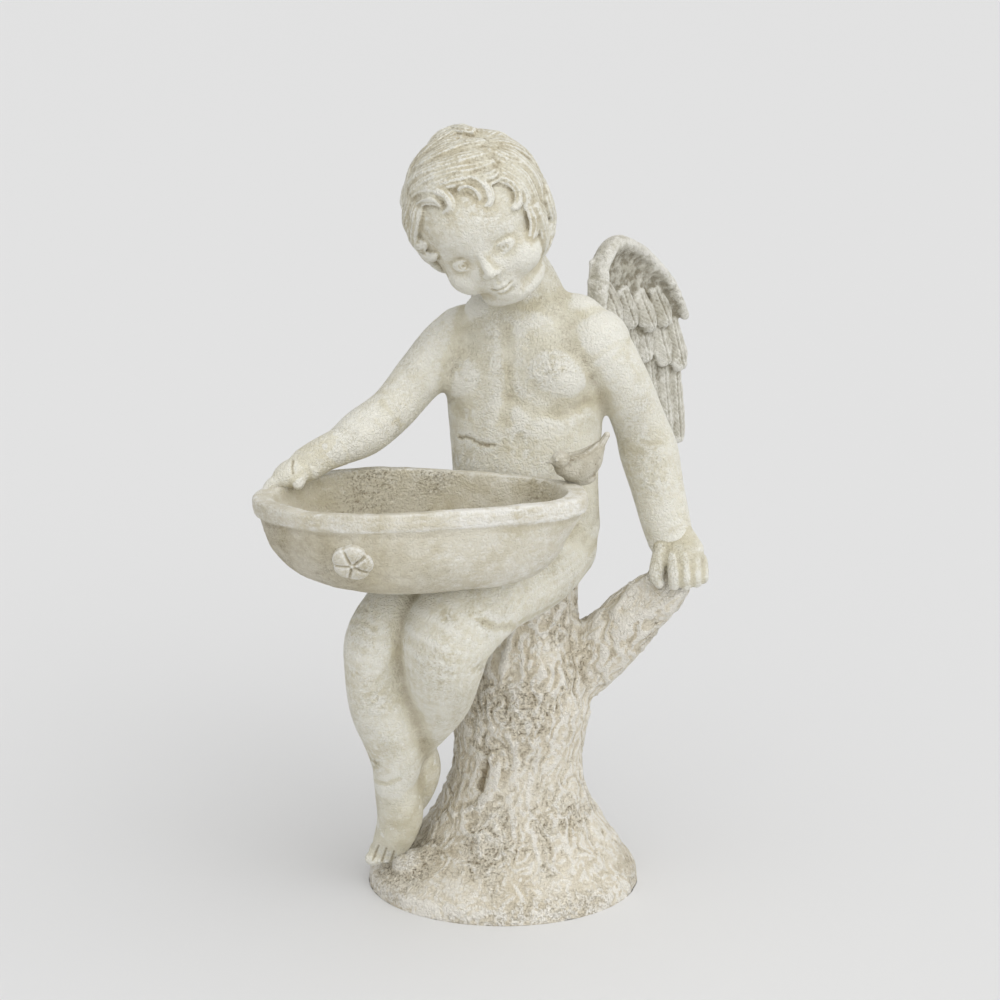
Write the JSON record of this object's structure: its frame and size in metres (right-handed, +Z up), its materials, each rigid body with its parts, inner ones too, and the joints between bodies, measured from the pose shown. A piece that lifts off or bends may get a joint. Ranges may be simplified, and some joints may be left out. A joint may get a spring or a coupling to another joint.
{
  "type": "cherub garden statue with basin",
  "caption": "Winged child seated on a tree stump, holding a shallow oval basin with a small bird on its rim, one casting on a round mound.",
  "frame": {"origin": "middle of the mound's flat underside, on the ground", "axes": "+Z up the statue; -Y towards the viewer of the picture, so the basin is on the -Y side; +X to the viewer's right, the child's left"},
  "size_m": [0.4748, 0.4988, 0.8442],
  "materials": {
    "cast_clay": "aged cast fibre clay: cream grey with brown wash in the recesses, rough and matt"
  },
  "bodies": {
    "root": {"cherub_statue": "cast_clay"}
  },
  "joints": []
}
